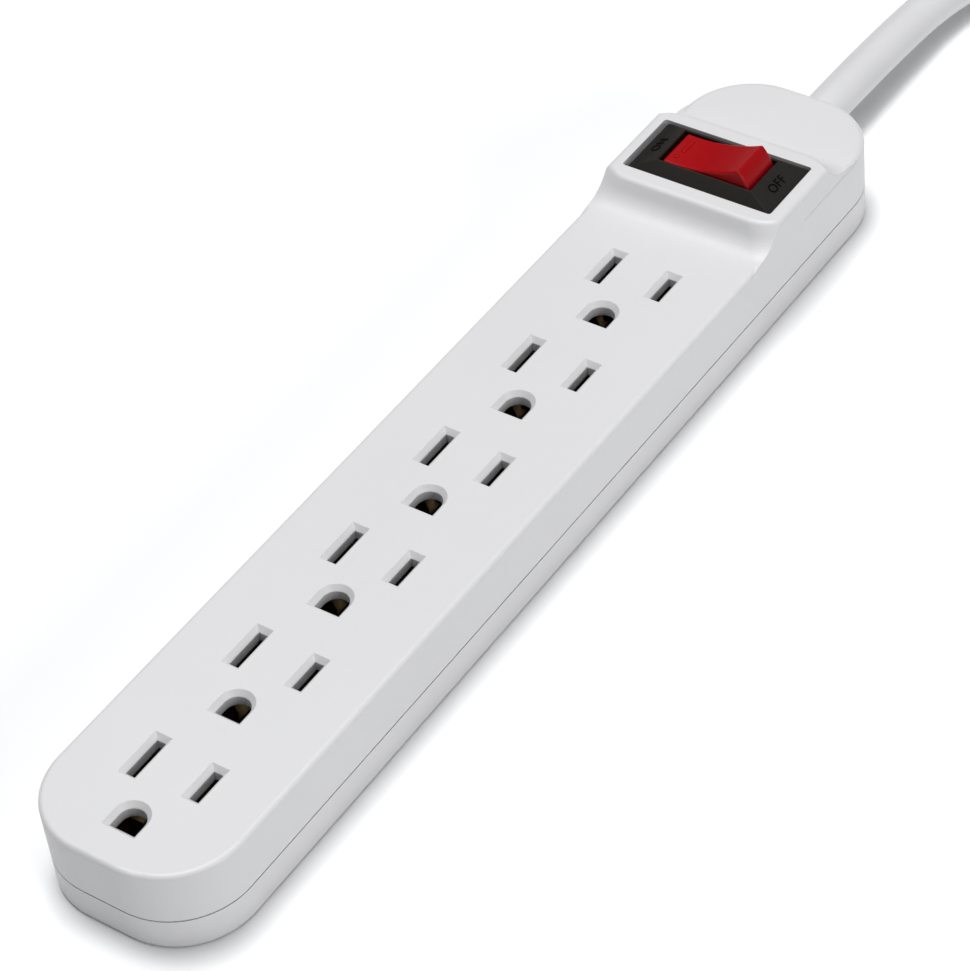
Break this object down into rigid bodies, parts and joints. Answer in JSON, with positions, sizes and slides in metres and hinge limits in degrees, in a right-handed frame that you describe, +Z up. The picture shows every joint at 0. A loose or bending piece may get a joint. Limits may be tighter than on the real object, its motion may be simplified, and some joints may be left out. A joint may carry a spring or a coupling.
{
  "type": "power strip",
  "caption": "White moulded power strip with a row of grounded outlets, a red rocker switch in a raised black bezel, and a round white lead with a moulded plug.",
  "frame": {"origin": "centre of the strip's base, on the surface it stands on", "axes": "+X along the strip towards the end that the lead leaves from, +Y across it towards the longer neutral slots, +Z up out of the outlet deck"},
  "size_m": [0.4297, 0.0747, 0.0431],
  "materials": {
    "white_plastic": "fine matt moulded texture",
    "switch_black": "fine matt moulded texture",
    "rocker_red": "satin moulded",
    "plunger_plastic": "natural nylon",
    "bar_brass": "rolled strip",
    "contact_brass": "stamped strip",
    "contact_silver": "silver contact facing",
    "screw_steel": "zinc plated",
    "wire_black": "soft insulation",
    "wire_white": "soft insulation",
    "wire_green": "soft insulation",
    "clamp_plastic": "matt moulded",
    "cord_white": "matt extruded jacket",
    "tie_white": "matt",
    "plug_white": "matt moulded",
    "pin_nickel": "nickel plated"
  },
  "bodies": {
    "strip": {"top_cover": "white_plastic", "bottom_cover": "white_plastic", "cover_screws": "screw_steel", "neutral_bus_bar": "bar_brass", "hot_bus_bar": "bar_brass", "ground_bus_bar": "bar_brass", "switch_housing": "switch_black", "common_terminal": "contact_brass", "load_terminal": "contact_brass", "fixed_contact": "contact_silver", "common_receptacle": "contact_brass", "load_receptacle": "contact_brass", "line_lead": "wire_black", "load_lead": "wire_black", "neutral_lead": "wire_white", "ground_lead": "wire_green", "cord_clamp": "clamp_plastic", "clamp_screws": "screw_steel", "cord_run": "cord_white", "cord_hank": "cord_white", "cord_tail": "cord_white", "cord_tie": "tie_white", "plug_body": "plug_white", "plug_neutral_blade": "pin_nickel", "plug_hot_blade": "pin_nickel", "plug_ground_pin": "pin_nickel"},
    "rocker_body": {"rocker": "rocker_red", "rocker_plunger": "plunger_plastic", "plunger_spring": "screw_steel"},
    "lever_body": {"contact_lever": "contact_brass", "moving_contact": "contact_silver"}
  },
  "joints": [
    {"name": "rocker_hinge", "type": "hinge", "parent": "strip", "child": "rocker_body", "pos_m": [0.0804, -0.00025, 0.0212], "axis": [1, 0, 0], "range_deg": [0, 22.4]},
    {"name": "lever_hinge", "type": "hinge", "parent": "strip", "child": "lever_body", "pos_m": [0.0804, -0.00025, 0.0134], "axis": [1, 0, 0], "range_deg": [-16, 0]}
  ],
  "couplings": [
    {"joint": "lever_hinge", "follows": "rocker_hinge", "ratio": -0.7142}
  ]
}
